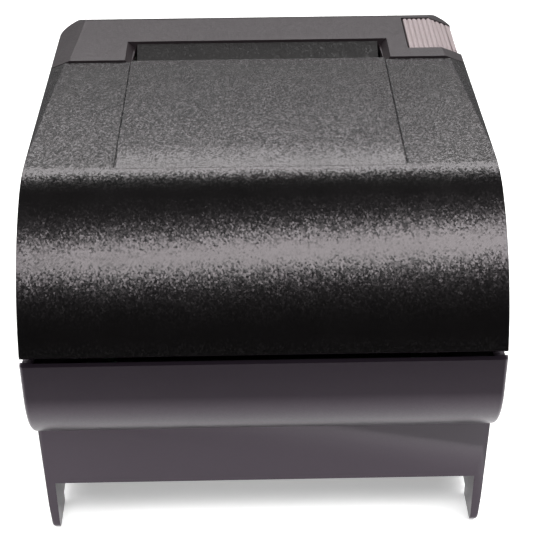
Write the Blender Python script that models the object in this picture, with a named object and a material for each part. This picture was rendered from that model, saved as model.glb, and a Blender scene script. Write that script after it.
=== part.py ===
"""Receipt printer with a drop-in paper roll: case, hinged roll cover, print mechanism, cutter and electronics.

Units are metres. +Z is up, the front faces -Y, +X is right when seen from the front.
The origin is the centre of the underside. Dimensions below are in millimetres.
"""

import math

import bmesh
import bpy
from mathutils import Matrix, Vector

MM = 0.001

# Overall size
WIDTH = 145.0
REAR_Y = 93.0
FRONT_Y = -93.0
TOP_Z = 124.0
SIDE_TOP_Z = 123.4
HALF = WIDTH / 2
WALL = 2.5
GAP = 0.3

# Case
BASE_TOP_Z = 81.2
BULGE_Z = 69.0
BULGE_RADIUS = 26.0
SKIRT_Y = 76.6
SKIRT_LOW_Z = 20.6
LEG_FRONT_Y = 62.6
SIDE_LOW_Z = 4.0
DRAFT_TOP_Z = 44.0
DRAFT = 0.7
FRONT_SLOPE = math.radians(58)
FRONT_CORNER = 10.0
FRONT_TOP_Y = -60.5
FRONT_TOP_RADIUS = 8.0
FRONT_LOW_RADIUS = 20.0

# Cover
SEAM_Y = -25.8
SEAM_GAP = 0.6
COVER_LOW_Z = 83.2
PANEL_HALF = 44.25
PANEL_REAR_Y = 48.0
BEVEL_X = 65.9
BEVEL_SPREAD = 0.0748
BEVEL_SLOPE = 0.4
HINGE = (85.5, 84.6)
HINGE_PIN_RADIUS = 1.2
HINGE_RELIEF = 6.1

# Paper path
ROLL = (42.3, 79.0)
ROLL_RADIUS = 41.5
BUCKET_INNER = 43.0
BUCKET_OUTER = 45.0
SLOT_HALF = 42.0
SLOT_FAR_Y = -41.8
PLATEN = (-20.5, 104.0)
PLATEN_RADIUS = 7.0
HEAD_Y = -27.9

# Gears: module, teeth and centres
MODULE = 0.8
PLATEN_TEETH = 24
IDLER_TEETH = 40
PINION_TEETH = 12
IDLER = (-24.9, 78.8)
MOTOR = (-37.4, 62.2)
GEAR_X = (53.0, 58.0)
CUTTER = (46.1, -48.0)
BLADE_Z = (114.0, 114.8)

# Lever, latch and controls
LEVER_X = (-71.6, -53.6)
LEVER_Y = (-59.3, -33.9)
LEVER_PIVOT = (-36.4, 120.3)
LATCH = (-9.5, 86.0)
BUTTON_Z = 102.0
SWITCH = (-60.0, 35.0)

PARTS = "receipt_printer"
CUTTERS = "cutters"

for existing in list(bpy.data.objects):
    bpy.data.objects.remove(existing, do_unlink=True)

parts = bpy.data.collections.new(PARTS)
cutters = bpy.data.collections.new(CUTTERS)
bpy.context.scene.collection.children.link(parts)
bpy.context.scene.collection.children.link(cutters)


def make_material(name, colour, metallic, roughness):
    material = bpy.data.materials.new(name)
    material.use_nodes = True
    shader = material.node_tree.nodes["Principled BSDF"]
    shader.inputs["Base Color"].default_value = (*colour, 1.0)
    shader.inputs["Metallic"].default_value = metallic
    shader.inputs["Roughness"].default_value = roughness
    return material


COLOURS = {
    "black": ((0.03, 0.028, 0.029), 0.0, 0.55),
    "dark": ((0.10, 0.095, 0.10), 0.0, 0.5),
    "grey": ((0.20, 0.19, 0.195), 0.0, 0.45),
    "light": ((0.50, 0.45, 0.46), 0.0, 0.45),
    "steel": ((0.62, 0.62, 0.64), 1.0, 0.35),
    "aluminium": ((0.78, 0.78, 0.79), 1.0, 0.4),
    "rubber": ((0.02, 0.02, 0.02), 0.0, 0.8),
    "gear": ((0.85, 0.84, 0.80), 0.0, 0.4),
    "board": ((0.02, 0.16, 0.07), 0.0, 0.45),
    "copper": ((0.72, 0.38, 0.12), 0.0, 0.4),
    "lens": ((0.10, 0.55, 0.16), 0.0, 0.2),
    "amber": ((0.75, 0.28, 0.03), 0.0, 0.2),
}


def finish(obj, name, colour, origin=None, smooth=True):
    """Names a part, colours it, and moves its origin to a point given in millimetres."""
    obj.name = name
    obj.data.name = name
    tint, metallic, roughness = COLOURS[colour]
    obj.data.materials.clear()
    obj.data.materials.append(make_material(name, tint, metallic, roughness))
    if origin:
        point = Vector(origin) * MM
        obj.data.transform(Matrix.Translation(-point))
        obj.location = point
    if smooth:
        obj.data.shade_smooth()
        obj.data.set_sharp_from_angle(angle=math.radians(35))
    return obj


def put(mesh, name, collection):
    obj = bpy.data.objects.new(name, mesh)
    collection.objects.link(obj)
    return obj


def tidy_mesh(mesh):
    bm = bmesh.new()
    bm.from_mesh(mesh)
    bmesh.ops.remove_doubles(bm, verts=bm.verts, dist=1e-6)
    bmesh.ops.recalc_face_normals(bm, faces=bm.faces)
    bm.to_mesh(mesh)
    bm.free()


def curve_to_object(curve, matrix, collection):
    """Turns a curve into a welded mesh object in the given collection."""
    holder = bpy.data.objects.new(curve.name, curve)
    bpy.context.scene.collection.objects.link(holder)
    graph = bpy.context.evaluated_depsgraph_get()
    mesh = bpy.data.meshes.new_from_object(holder.evaluated_get(graph))
    bpy.data.objects.remove(holder, do_unlink=True)
    bpy.data.curves.remove(curve)
    mesh.transform(matrix)
    tidy_mesh(mesh)
    return put(mesh, mesh.name, collection)


ALONG_X = Matrix(((0, 0, 1, 0), (1, 0, 0, 0), (0, 1, 0, 0), (0, 0, 0, 1)))
ALONG_Z = Matrix.Identity(4)
ALONG_SLOPE = Matrix.Rotation(FRONT_SLOPE - math.pi / 2, 4, "X")


def flat(outlines, low, high, direction=ALONG_X, collection=parts):
    """Extrudes closed outlines, in millimetres, between two heights along a direction."""
    curve = bpy.data.curves.new("outline", "CURVE")
    curve.dimensions = "2D"
    curve.fill_mode = "BOTH"
    curve.extrude = (high - low) / 2 * MM
    for outline in outlines:
        spline = curve.splines.new("POLY")
        spline.points.add(len(outline) - 1)
        for point, (u, v) in zip(spline.points, outline):
            point.co = (u * MM, v * MM, 0, 1)
        spline.use_cyclic_u = True
    lift = Matrix.Translation((0, 0, (low + high) / 2 * MM))
    return curve_to_object(curve, direction @ lift, collection)


def box(low, high, collection=parts):
    bpy.ops.mesh.primitive_cube_add(size=1)
    obj = bpy.context.object
    low = Vector(low) * MM
    high = Vector(high) * MM
    size = Matrix.Diagonal((*(high - low), 1))
    obj.data.transform(Matrix.Translation((low + high) / 2) @ size)
    move_to(obj, collection)
    return obj


def move_to(obj, collection):
    for holder in list(obj.users_collection):
        holder.objects.unlink(obj)
    collection.objects.link(obj)


def cylinder(centre, radius, length, axis="Z", sides=24, collection=parts, tilt=0.0):
    """A round bar centred on a point, along X, Y or Z, tilted about X."""
    bpy.ops.mesh.primitive_cylinder_add(vertices=sides, radius=radius * MM, depth=length * MM)
    obj = bpy.context.object
    turns = {
        "X": Matrix.Rotation(math.pi / 2, 4, "Y"),
        "Y": Matrix.Rotation(math.pi / 2, 4, "X"),
        "Z": Matrix.Identity(4),
    }
    turn = Matrix.Rotation(tilt, 4, "X") @ turns[axis]
    obj.data.transform(Matrix.Translation(Vector(centre) * MM) @ turn)
    move_to(obj, collection)
    return obj


def boolean(obj, other, operation):
    """Keeps the other solid as a hidden helper and combines it into the part."""
    move_to(other, cutters)
    other.hide_render = True
    other.display_type = "WIRE"
    modifier = obj.modifiers.new(operation.lower(), "BOOLEAN")
    modifier.operation = operation
    modifier.solver = "EXACT"
    modifier.object = other
    return obj


def cut(obj, *others):
    for other in others:
        boolean(obj, other, "DIFFERENCE")
    return obj


def join(obj, *others):
    for other in others:
        boolean(obj, other, "UNION")
    return obj


def arc(centre, radius, start, end, steps):
    """Points of an arc, its angles in degrees."""
    points = []
    for step in range(steps + 1):
        angle = math.radians(start + (end - start) * step / steps)
        points.append((centre[0] + radius * math.cos(angle), centre[1] + radius * math.sin(angle)))
    return points


def strip(path, half):
    """Outline of a bent strip of even thickness along a path."""
    upper = []
    lower = []
    for i, point in enumerate(path):
        before = Vector(path[max(i - 1, 0)])
        after = Vector(path[min(i + 1, len(path) - 1)])
        along = (after - before).normalized()
        upper.append((point[0] - along.y * half, point[1] + along.x * half))
        lower.append((point[0] + along.y * half, point[1] - along.x * half))
    return upper + lower[::-1]


def bisect(obj, point, normal):
    """Cuts away what lies beyond a plane and closes the cut."""
    bm = bmesh.new()
    bm.from_mesh(obj.data)
    geometry = bm.verts[:] + bm.edges[:] + bm.faces[:]
    found = bmesh.ops.bisect_plane(
        bm,
        geom=geometry,
        plane_co=Vector(point) * MM,
        plane_no=Vector(normal),
        clear_outer=True,
    )
    edges = [part for part in found["geom_cut"] if isinstance(part, bmesh.types.BMEdge)]
    bmesh.ops.contextual_create(bm, geom=edges)
    bmesh.ops.recalc_face_normals(bm, faces=bm.faces)
    bm.to_mesh(obj.data)
    bm.free()
    return obj


def round_front_corners(obj, direction, front):
    """Rounds the two edges that run along a direction, where the front meets the sides."""
    for side in (1, -1):
        middle = (side * (HALF - FRONT_CORNER), front + FRONT_CORNER)
        outline = arc(middle, FRONT_CORNER, 270, 270 + side * 90, 5)
        outline += [(side * (HALF + 5), middle[1]), (side * (HALF + 5), front - 5)]
        outline += [(middle[0], front - 5)]
        cut(obj, flat([outline], -150, 150, direction))
    return obj


def cut_side_bevels(obj):
    """Slopes the top's outer edges: narrow at the rear and wide at the front."""
    for side in (1, -1):
        point = (side * BEVEL_X, SEAM_Y, TOP_Z)
        normal = (side * BEVEL_SLOPE, -BEVEL_SLOPE * BEVEL_SPREAD, 1)
        bisect(obj, point, normal)
    return obj


def add_draft(obj):
    """Leans the sides in towards the floor, below the bulge."""
    bm = bmesh.new()
    bm.from_mesh(obj.data)
    bmesh.ops.bisect_plane(
        bm,
        geom=bm.verts[:] + bm.edges[:] + bm.faces[:],
        plane_co=(0, 0, DRAFT_TOP_Z * MM),
        plane_no=(0, 0, 1),
    )
    for vert in bm.verts:
        low = DRAFT_TOP_Z - vert.co.z / MM
        if low > 0:
            vert.co.x *= 1 - DRAFT * low / DRAFT_TOP_Z / HALF
    bm.to_mesh(obj.data)
    bm.free()
    return obj


def gear_outline(centre, teeth, phase):
    """Outline of a gear, with the centre of one tooth at the phase angle."""
    pitch = 2 * math.pi / teeth
    radius = MODULE * teeth / 2
    shape = (
        (-0.33, radius - 1.1 * MODULE),
        (-0.12, radius + 0.85 * MODULE),
        (0.12, radius + 0.85 * MODULE),
        (0.33, radius - 1.1 * MODULE),
    )
    points = []
    for tooth in range(teeth):
        for offset, reach in shape:
            angle = phase + (tooth + offset) * pitch
            points.append((centre[0] + reach * math.cos(angle), centre[1] + reach * math.sin(angle)))
    return points


def circle(centre, radius, steps=24):
    return arc(centre, radius, 0, 360 - 360 / steps, steps - 1)


def pair(make):
    """Calls a maker once for each side: right is +X, left is -X."""
    for side, word in ((1, "right"), (-1, "left")):
        make(side, word)


def spread(side, low, high):
    """A range of X on one side of the middle, lowest first."""
    return (low, high) if side > 0 else (-high, -low)


# Outlines of the case, as (y, z)
bulge_turn = math.degrees(math.acos((SKIRT_Y - (REAR_Y - BULGE_RADIUS)) / BULGE_RADIUS))
bulge_centre = (REAR_Y - BULGE_RADIUS, BULGE_Z)
slope_y = FRONT_TOP_Y - FRONT_TOP_RADIUS * math.sin(FRONT_SLOPE)
slope_z = TOP_Z - FRONT_TOP_RADIUS * (1 - math.cos(FRONT_SLOPE))
corner_z = slope_z - (slope_y - FRONT_Y) * math.tan(FRONT_SLOPE)
low_centre = (
    FRONT_Y + FRONT_LOW_RADIUS,
    corner_z - FRONT_LOW_RADIUS * math.tan((math.pi / 2 - FRONT_SLOPE) / 2),
)
slope_turn = 90 - math.degrees(FRONT_SLOPE)
slope_front = slope_y * math.sin(FRONT_SLOPE) - slope_z * math.cos(FRONT_SLOPE)


def turn_at(height):
    return math.degrees(math.asin((height - low_centre[1]) / FRONT_LOW_RADIUS))


def on_slope(height):
    """Y of the sloping front face at a height."""
    return slope_y - (slope_z - height) / math.tan(FRONT_SLOPE)


# Case bottom half
case_outline = [(REAR_Y, BASE_TOP_Z)]
case_outline += arc(bulge_centre, BULGE_RADIUS, 0, -bulge_turn, 7)
case_outline += [(SKIRT_Y, 2.5), (SKIRT_Y - 0.8, 0.8), (SKIRT_Y - 2.5, 0.0)]
case_outline += [(LEG_FRONT_Y, 0.0), (LEG_FRONT_Y, SIDE_LOW_Z)]
case_outline += [(FRONT_Y + 3, SIDE_LOW_Z), (FRONT_Y, SIDE_LOW_Z + 3)]
case_outline += arc(low_centre, FRONT_LOW_RADIUS, 180, 180 - turn_at(BASE_TOP_Z), 3)
base_case = flat([case_outline], -HALF, HALF)
add_draft(base_case)
round_front_corners(base_case, ALONG_Z, FRONT_Y)

inner_outline = [(REAR_Y - 1.8, 90), (REAR_Y - 1.8, 76), (REAR_Y - WALL, 74)]
inner_outline += arc(bulge_centre, BULGE_RADIUS - WALL, 0, -70, 6)
inner_outline += [(SKIRT_Y - WALL, 46.2), (SKIRT_Y - WALL, -5)]
inner_outline += [(FRONT_Y + WALL, -5), (FRONT_Y + WALL, 74), (-88.6, 83), (-87, 90)]
hollow = flat([inner_outline], -HALF + 3.5, HALF - 3.5)
under_skirt = box((-HALF + 3.5, 55, -5), (HALF - 3.5, 85, SKIRT_LOW_Z))
switch_hole = box(
    (60, SWITCH[0] - 11.3, SWITCH[1] - 7.3),
    (80, SWITCH[0] + 11.3, SWITCH[1] + 7.3),
)
cut(base_case, hollow, under_skirt)


def add_case_shelf(side, word):
    """A shelf for the mechanism, a post behind the front corner, and an ear for the cover's hinge."""
    low, high = spread(side, 52, 69.5)
    shelf = box((low, -22, 46), (high, -1, 51.4))
    low, high = spread(side, 64, 69.5)
    post = box((low, -91, SIDE_LOW_Z + 0.4), (high, -86.3, 74))
    boss_hole = cylinder((side * 58, -11, 48), 1.3, 20)
    relief = cylinder((side * 71.4, *HINGE), HINGE_RELIEF, 5, "X", 32)
    cut(base_case, relief)
    ear_outline = [(62, 84), (62, 74), (80, 74)]
    ear_outline += arc(HINGE, 2.2, -110, 120, 10)
    ear = flat([ear_outline], *spread(side, 66.0, 69.4))
    ear_hole = cylinder((side * 66, *HINGE), HINGE_PIN_RADIUS + 0.1, 12, "X")
    join(base_case, shelf, post, ear)
    cut(base_case, boss_hole, ear_hole)


pair(add_case_shelf)
cut(base_case, switch_hole)
finish(base_case, "base_case", "dark")

# Bottom plate, its screws and feet
plate_outline = [(-68.5, -86), (68.5, -86), (68.5, 40), (-68.5, 40)]
plate_holes = [circle((side * 58, -20), 1.7, 16) for side in (1, -1)]
bottom_plate = flat([plate_outline, *plate_holes], 3.4, 4.9, ALONG_Z)
finish(bottom_plate, "bottom_plate", "steel")


def add_plate_parts(side, word):
    head = cylinder((side * 58, -20, 2.3), 3.0, 1.6, sides=16)
    join(head, cylinder((side * 58, -20, 6.0), 1.4, 7.0, sides=16))
    finish(head, f"plate_screw_{word}", "steel")
    for place, y in (("front", -74), ("rear", 30)):
        foot = cylinder((side * 55, y, 1.55), 6.5, 3.1)
        finish(foot, f"foot_{place}_{word}", "rubber")


pair(add_plate_parts)

# Connector panel and sockets, facing the cable bay under the roll
SOCKETS = {
    "dc_inlet": (-48.0, 14.0, 12.0),
    "drawer_socket": (-24.0, 13.0, 12.0),
    "usb_socket": (0.0, 12.0, 11.0),
    "lan_socket": (24.0, 16.0, 13.0),
}
SOCKET_Z = 14.0
panel = box((-62, 38, 5.4), (62, 39.4, 32))
for x, width, height in SOCKETS.values():
    clearance = 0.4
    cut(
        panel,
        box(
            (x - width / 2 - clearance, 30, SOCKET_Z - clearance),
            (x + width / 2 + clearance, 50, SOCKET_Z + height + clearance),
        ),
    )
finish(panel, "connector_panel", "steel")


def socket_body(name):
    x, width, height = SOCKETS[name]
    return box((x - width / 2, 27, SOCKET_Z), (x + width / 2, 41.2, SOCKET_Z + height))


dc_inlet = socket_body("dc_inlet")
dc_x = SOCKETS["dc_inlet"][0]
cut(dc_inlet, cylinder((dc_x, 38, SOCKET_Z + 6), 4.6, 14, "Y"))
join(dc_inlet, cylinder((dc_x, 35, SOCKET_Z + 6), 1.0, 10, "Y", 12))
finish(dc_inlet, "dc_inlet", "black")

drawer_socket = socket_body("drawer_socket")
drawer_x = SOCKETS["drawer_socket"][0]
cut(drawer_socket, box((drawer_x - 5, 30, SOCKET_Z + 2), (drawer_x + 5, 50, SOCKET_Z + 9)))
cut(drawer_socket, box((drawer_x - 2, 32, SOCKET_Z + 8), (drawer_x + 2, 50, SOCKET_Z + 10.5)))
finish(drawer_socket, "drawer_socket", "black")

usb_socket = socket_body("usb_socket")
cut(usb_socket, box((-4.3, 31, SOCKET_Z + 1.5), (4.3, 50, SOCKET_Z + 9.3)))
join(usb_socket, box((-2.8, 29, SOCKET_Z + 4.0), (2.8, 39.5, SOCKET_Z + 7.0)))
finish(usb_socket, "usb_socket", "steel")

lan_socket = socket_body("lan_socket")
lan_x = SOCKETS["lan_socket"][0]
cut(lan_socket, box((lan_x - 6, 30, SOCKET_Z + 2), (lan_x + 6, 50, SOCKET_Z + 9)))
cut(lan_socket, box((lan_x - 3, 32, SOCKET_Z + 8), (lan_x + 3, 50, SOCKET_Z + 11.5)))
finish(lan_socket, "lan_socket", "steel")

# Main board and what stands on it
board = box((-60, -62, 12.0), (60, 36.8, 13.6))
finish(board, "main_board", "board")
finish(box((-14, 2, 13.9), (6, 22, 15.9)), "processor_chip", "black")
finish(cylinder((-44, -2, 24), 8, 20), "power_capacitor", "black")
finish(cylinder((-40, -40, 18), 6, 8), "buzzer", "black")

# Paper bucket: a trough for the roll, with a wall at each end
bucket_outline = arc(ROLL, BUCKET_OUTER, 0, -180, 18)
bucket = flat([bucket_outline], -SLOT_HALF - 2.3, SLOT_HALF + 2.3)
cut(bucket, cylinder((0, *ROLL), BUCKET_INNER, 2 * SLOT_HALF + 0.6, "X", 40))
cut(bucket, box((-60, -10, 78.0), (60, 100, 90)))
finish(bucket, "paper_bucket", "black")

# Mechanism frame: two side plates, a cross plate behind and a bar behind the print head
side_outline = [(-50, 54), (-24, 54), (-24, 51.8), (-1.4, 51.8), (-1.4, 84), (-5, 100)]
side_outline += [(-12, 111.6), (-14, 111.6), (-17.3, 106), (-17.3, 101), (-23.7, 101), (-23.7, 106)]
side_outline += [(-26, 111.6), (-40.2, 111.6), (-40.2, 88), (-50, 80)]
frame = flat([side_outline], 48.0, 49.5)
other_side = flat([side_outline], -49.5, -48.0)
cross_plate = box((-48.5, -5.6, 51.8), (48.5, -4.1, 77))
head_bar = box((-48.5, -39.6, 90), (48.5, -38.4, 110))
join(frame, other_side, cross_plate, head_bar)


def add_frame_foot(side, word):
    low, high = spread(side, 48.5, 66)
    join(frame, box((low, -20, 51.8), (high, -3, 53.3)))
    cut(frame, cylinder((side * 58, -11, 52), 1.4, 10, sides=16))
    shaft_hole = cylinder((side * 49, *LATCH), 2.3, 6, "X", 20)
    cut(frame, shaft_hole)
    screw = cylinder((side * 58, -11, 54.5), 2.8, 1.8, sides=16)
    join(screw, cylinder((side * 58, -11, 51), 1.1, 7, sides=16))
    finish(screw, f"frame_screw_{word}", "steel")


pair(add_frame_foot)
cut(frame, cylinder((49, *MOTOR), 3.0, 6, "X", 20))
cut(frame, cylinder((49, *IDLER), 2.0, 6, "X", 20))
finish(frame, "mechanism_frame", "steel")

# Print head and its springs
print_head = box((-41, HEAD_Y - 1.0, 90), (41, HEAD_Y, 110.5))
finish(print_head, "print_head", "copper")
heatsink = box((-44, -31.6, 84), (44, HEAD_Y - 1.3, 111.5))
finish(heatsink, "head_heatsink", "aluminium")


def add_head_spring(side, word):
    """A coil between the head's heatsink and the bar behind it."""
    curve = bpy.data.curves.new("coil", "CURVE")
    curve.dimensions = "3D"
    curve.bevel_depth = 0.35 * MM
    curve.bevel_resolution = 0
    curve.use_fill_caps = True
    spline = curve.splines.new("POLY")
    turns = 3
    steps = 10 * turns
    spline.points.add(steps)
    for i, point in enumerate(spline.points):
        angle = 2 * math.pi * i / 10
        along = -38.0 + 6.0 * i / steps + 0.05
        x = side * 25 + 2.5 * math.cos(angle)
        z = 100 + 2.5 * math.sin(angle)
        point.co = (x * MM, along * MM, z * MM, 1)
    spring = curve_to_object(curve, Matrix.Identity(4), parts)
    finish(spring, f"head_spring_{word}", "steel")


pair(add_head_spring)

ribbon_path = [(-30.4, 83.4), (-32.5, 76), (-34, 66), (-33, 50), (-29, 34), (-30, 22), (-33, 14.2)]
ribbon = flat([strip(ribbon_path, 0.2)], -30, 8)
finish(ribbon, "head_cable", "black")

# Feed motor and gear train on the right
motor = cylinder((31, *MOTOR), 17.5, 26, "X", 32)
join(motor, cylinder((45.8, *MOTOR), 2.6, 3.6, "X", 16))
cut(motor, cylinder((45, *MOTOR), 1.3, 12, "X", 16))
finish(motor, "feed_motor", "steel")

axle = cylinder((54.2, *IDLER), 1.6, 14, "X", 16)
finish(axle, "idler_axle", "steel")

to_idler = math.atan2(IDLER[1] - PLATEN[1], IDLER[0] - PLATEN[0])
to_motor = math.atan2(MOTOR[1] - IDLER[1], MOTOR[0] - IDLER[0])
idler_pitch = 2 * math.pi / IDLER_TEETH
pinion_pitch = 2 * math.pi / PINION_TEETH
idler_phase = to_idler + math.pi + idler_pitch / 2
share = ((to_motor - idler_phase) % idler_pitch) / idler_pitch
pinion_phase = to_motor + math.pi + (share + 0.5) * pinion_pitch

platen_gear = flat(
    [gear_outline(PLATEN, PLATEN_TEETH, to_idler), circle(PLATEN, 2.6, 20)],
    *GEAR_X,
)
finish(platen_gear, "platen_gear", "gear", (0, *PLATEN))
idler_gear = flat(
    [gear_outline(IDLER, IDLER_TEETH, idler_phase), circle(IDLER, 1.7, 16)],
    *GEAR_X,
)
finish(idler_gear, "idler_gear", "gear", (0, *IDLER))
pinion = flat([gear_outline(MOTOR, PINION_TEETH, pinion_phase)], *GEAR_X)
join(pinion, cylinder((49, *MOTOR), 1.0, 10, "X", 16))
finish(pinion, "motor_pinion", "gear", (0, *MOTOR))

# Platen: rubber sleeve on a steel shaft
roller = cylinder((0, *PLATEN), PLATEN_RADIUS, 82, "X", 32)
cut(roller, cylinder((0, *PLATEN), 2.6, 100, "X", 20))
finish(roller, "platen_roller", "rubber", (0, *PLATEN))
shaft = cylinder((4.5, *PLATEN), 2.45, 110, "X", 20)
finish(shaft, "platen_shaft", "steel", (0, *PLATEN))

# Roll cover, built closed
first_arc = arc((45.3, 88.0 - 0.6), 36.0, 90, 62, 5)
second_arc = arc((34.97, 68.59), 58.0, 62, 14.6, 9)
cover_outline = [(SEAM_Y, 104.0), (SEAM_Y, SIDE_TOP_Z)]
cover_outline += [(45.3, SIDE_TOP_Z)] + first_arc[1:-1] + second_arc
cover_outline += [(90.9, COVER_LOW_Z), (4.0, COVER_LOW_Z)]
cover = flat([cover_outline], -HALF, HALF)
cut_side_bevels(cover)
panel_outline = [(SEAM_Y, 120), (SEAM_Y, TOP_Z), (36, TOP_Z), (42, TOP_Z - 0.25)]
panel_outline += [(PANEL_REAR_Y, SIDE_TOP_Z - 0.15), (PANEL_REAR_Y, 120)]
join(cover, flat([panel_outline], -PANEL_HALF, PANEL_HALF))
inner_cover = [(SEAM_Y + 1.8, 80), (SEAM_Y + 1.8, 120.8)]
inner_cover += [(44.6, 120.8)] + arc((45.3, 87.4), 33.5, 90, 62, 4)[1:-1]
inner_cover += arc((34.97, 68.59), 55.5, 62, 14.2, 8) + [(88.2, 70), (0, 70)]
cut(cover, flat([inner_cover], -HALF + 2.8, HALF - 2.8))
cut(cover, box((-59.5, -40, 70), (59.5, -22, 116.4)))


def add_cover_details(side, word):
    """Hinge lug, hinge pin and a boss for the bracket's screw."""
    lug_outline = arc(HINGE, 2.2, 170, 300, 6) + [(88.6, 84), (85, 96), (83, 96)]
    lug = flat([lug_outline], *spread(side, 62.0, 65.6))
    lug_hole = cylinder((side * 64, *HINGE), HINGE_PIN_RADIUS + 0.1, 12, "X")
    boss = cylinder((side * 36, -3, 119.3), 3.4, 3.4)
    boss_hole = cylinder((side * 36, -3, 118.5), 1.3, 5, sides=16)
    join(cover, lug, boss)
    cut(cover, lug_hole, boss_hole)
    pin = cylinder((side * 65.4, *HINGE), HINGE_PIN_RADIUS, 7.0, "X", 20)
    finish(pin, f"hinge_pin_{word}", "steel")


pair(add_cover_details)
finish(cover, "roll_cover", "black", (0, *HINGE))

# Bracket under the cover that carries the platen and the fixed blade
bracket = box((-44.6, -24.0, 115.6), (44.6, 4, 117.0))


def add_bracket_cheek(side, word):
    outline = arc(PLATEN, 6.0, 180, 360, 8) + [(-8, 108), (0, 116), (-23.5, 116)]
    join(bracket, flat([outline], *spread(side, 42.9, 44.6)))
    cut(bracket, cylinder((side * 44, *PLATEN), 4.1, 8, "X", 24))
    cut(bracket, cylinder((side * 36, -3, 116), 1.5, 6, sides=16))
    bush = cylinder((side * 44.6, *PLATEN), 4.0, 5.0, "X", 24)
    cut(bush, cylinder((side * 44.6, *PLATEN), 2.5, 12, "X", 20))
    finish(bush, f"platen_bush_{word}", "gear", (0, *HINGE))
    screw = cylinder((side * 36, -3, 114.6), 2.6, 1.4, sides=16)
    join(screw, cylinder((side * 36, -3, 117), 1.1, 5.6, sides=16))
    finish(screw, f"bracket_screw_{word}", "steel", (0, *HINGE))


pair(add_bracket_cheek)
finish(bracket, "platen_bracket", "steel", (0, *HINGE))
fixed_blade = box((-41, -27.0, 113.0), (41, -14, 113.7))
finish(fixed_blade, "fixed_blade", "steel", (0, *HINGE))

# Front frame: top, sloping front, paper slot and lever pocket
front_outline = [(2.0, 81.8), (2.0, 83.8), (SEAM_Y - SEAM_GAP, 103.7), (SEAM_Y - SEAM_GAP, TOP_Z)]
front_outline += arc(
    (FRONT_TOP_Y, TOP_Z - FRONT_TOP_RADIUS),
    FRONT_TOP_RADIUS,
    90,
    90 + math.degrees(FRONT_SLOPE),
    5,
)
front_outline += arc(low_centre, FRONT_LOW_RADIUS, 180 - slope_turn, 180 - turn_at(81.8), 2)
front_frame = flat([front_outline], -HALF, HALF)
cut_side_bevels(front_frame)
round_front_corners(front_frame, ALONG_SLOPE, slope_front)
inner_front = [(30, 70), (30, 119.4), (-63.5, 119.4)]
inner_front += [(on_slope(84) + 3.0, 84), (on_slope(84) + 1.6, 70)]
cut(front_frame, flat([inner_front], -HALF + 2.8, HALF - 2.8))
pocket_block = box((-70.5, -62.0, 109.6), (-51.4, -31.4, 121.0))
join(front_frame, pocket_block)
pocket = box((-80, -59.8, 112.0), (-53.3, -33.5, 130))
slot_outline = [(-45.0, -20), (45.0, -20), (43.7, SLOT_FAR_Y), (-43.7, SLOT_FAR_Y)]
slot = flat([slot_outline], 100, 140, ALONG_Z)
pin_hole = cylinder((-52.4, *LEVER_PIVOT), 1.2, 4, "X", 16)
cut(front_frame, pocket, slot, pin_hole)
button_place = (48, on_slope(BUTTON_Z), BUTTON_Z)


def tilted_box(centre, size, collection=parts):
    """A box on the sloping front face, its third size along the face's normal."""
    bpy.ops.mesh.primitive_cube_add(size=1)
    obj = bpy.context.object
    turn = Matrix.Rotation(FRONT_SLOPE, 4, "X")
    scale = Matrix.Diagonal((*(Vector(size) * MM), 1))
    obj.data.transform(Matrix.Translation(Vector(centre) * MM) @ turn @ scale)
    move_to(obj, collection)
    return obj


outward = Vector((0, -math.sin(FRONT_SLOPE), math.cos(FRONT_SLOPE)))
cut(front_frame, tilted_box(button_place, (18.8, 8.8, 14)))
LENSES = {"power_lens": ("lens", -30), "error_lens": ("amber", -22), "paper_lens": ("amber", -14)}
for name, (colour, x) in LENSES.items():
    place = Vector((x, on_slope(BUTTON_Z), BUTTON_Z))
    cut(front_frame, cylinder(place, 1.9, 12, "Z", 16, tilt=FRONT_SLOPE))
    lens = cylinder(place - outward * 1.5, 1.6, 3.4, "Z", 16, tilt=FRONT_SLOPE)
    finish(lens, name, colour)
finish(front_frame, "front_frame", "grey")
button_centre = Vector(button_place) - outward * 1.3
button = tilted_box(button_centre, (18.0, 8.0, 4.6))
finish(button, "feed_button", "grey", button_centre)

# Exit guide: the sloping wall of the paper slot
guide_outline = [(-41.4, 123.3), (-30.3, 116.7), (-31.2, 115.9), (-41.4, 121.5)]
guide = flat([guide_outline], -43.0, 43.0)
finish(guide, "exit_guide", "black")

# Cutter: plate, motor, pinion and the blade with its rack
cutter_plate = [(-50.4, -61), (51.5, -61), (51.5, -32.4), (-50.4, -32.4)]
cutter_frame = flat([cutter_plate, circle(CUTTER, 1.6, 16)], 112.4, 113.6, ALONG_Z)
finish(cutter_frame, "cutter_frame", "steel")
cutter_motor = cylinder((*CUTTER, 103.8), 6.0, 16)
finish(cutter_motor, "cutter_motor", "steel")
cutter_pinion = flat([gear_outline(CUTTER, PINION_TEETH, math.pi)], 114.0, 116.0, ALONG_Z)
finish(cutter_pinion, "cutter_pinion", "gear", (*CUTTER, 114.0))

RACK_PITCH = math.pi * MODULE
rack_line = CUTTER[0] - MODULE * PINION_TEETH / 2
blade_outline = [(-40.4, -31.6), (-40.4, -57.6), (rack_line - 0.88, -57.6)]
for tooth in range(-3, 2):
    middle = CUTTER[1] + (tooth + 0.5) * RACK_PITCH
    for offset, reach in ((-0.33, -0.88), (-0.12, 0.68), (0.12, 0.68), (0.33, -0.88)):
        blade_outline.append((rack_line + reach, middle + offset * RACK_PITCH))
blade_outline += [(rack_line - 0.88, -41), (rack_line - 0.88, -31.6), (0, -33.6)]
moving_blade = flat([blade_outline], *BLADE_Z, ALONG_Z)
finish(moving_blade, "moving_blade", "steel", (0, -45, 114.4))

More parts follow.
